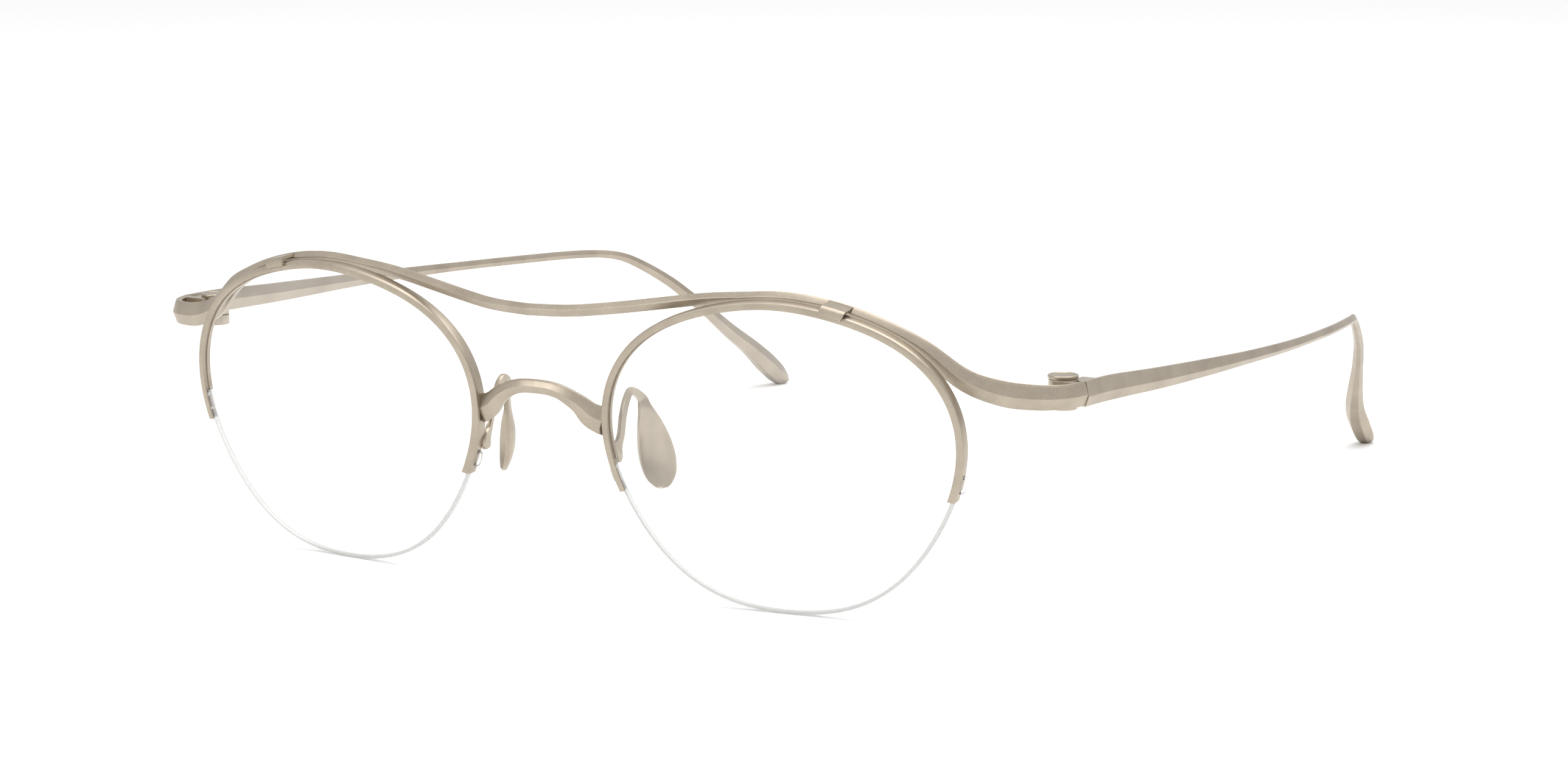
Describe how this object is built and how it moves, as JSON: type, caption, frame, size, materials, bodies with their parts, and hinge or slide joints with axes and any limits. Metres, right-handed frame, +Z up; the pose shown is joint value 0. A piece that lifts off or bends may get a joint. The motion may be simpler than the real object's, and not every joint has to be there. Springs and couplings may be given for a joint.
{
  "type": "half-rim eyeglasses",
  "caption": "Half-rim eyeglasses with a double bridge: a brow bar from hinge to hinge, two upper rims, nylon-held lenses, sheet nose pads and folding temples.",
  "frame": {"origin": "middle of the glasses seen from above, on the surface that they stand on", "axes": "+Z up, X = 0 is the mirror plane with the wearer's left side at +X, the front faces -Y and the open temples run towards +Y"},
  "size_m": [0.1438, 0.1558, 0.0418],
  "materials": {
    "titanium_frame": "champagne titanium, fine bead-blasted satin",
    "titanium_pads": "champagne titanium sheet, pressed and satin finished",
    "titanium_hinge": "turned titanium, satin",
    "clear_lens": "clear optical plastic, polished faces, satin edge and groove",
    "clear_nylon": "clear drawn nylon",
    "hinge_washer": "thin bronze, dark with use"
  },
  "bodies": {
    "front": {"brow_bar": "titanium_frame", "rim_left": "titanium_frame", "rim_right": "titanium_frame", "rim_liner_left": "titanium_frame", "rim_liner_right": "titanium_frame", "lens_left": "clear_lens", "lens_right": "clear_lens", "nylon_cord_left": "clear_nylon", "nylon_cord_right": "clear_nylon", "bar_clip_left": "titanium_frame", "bar_clip_right": "titanium_frame", "bridge_arch": "titanium_frame", "nose_pad_left": "titanium_pads", "nose_pad_right": "titanium_pads", "hinge_front_left": "titanium_hinge", "hinge_front_right": "titanium_hinge", "hinge_screw_left": "titanium_hinge", "hinge_screw_right": "titanium_hinge", "hinge_washers_left": "hinge_washer", "hinge_washers_right": "hinge_washer"},
    "temple_left": {"temple_left": "titanium_frame", "hinge_rear_left": "titanium_hinge"},
    "temple_right": {"temple_right": "titanium_frame", "hinge_rear_right": "titanium_hinge"}
  },
  "joints": [
    {"name": "temple_fold_left", "type": "hinge", "parent": "front", "child": "temple_left", "pos_m": [-0.06621, -0.05634, 0.02948], "axis": [0, 0, -1], "range_deg": [0, 86]},
    {"name": "temple_fold_right", "type": "hinge", "parent": "front", "child": "temple_right", "pos_m": [0.06621, -0.05634, 0.02948], "axis": [0, 0, 1], "range_deg": [0, 82]}
  ]
}
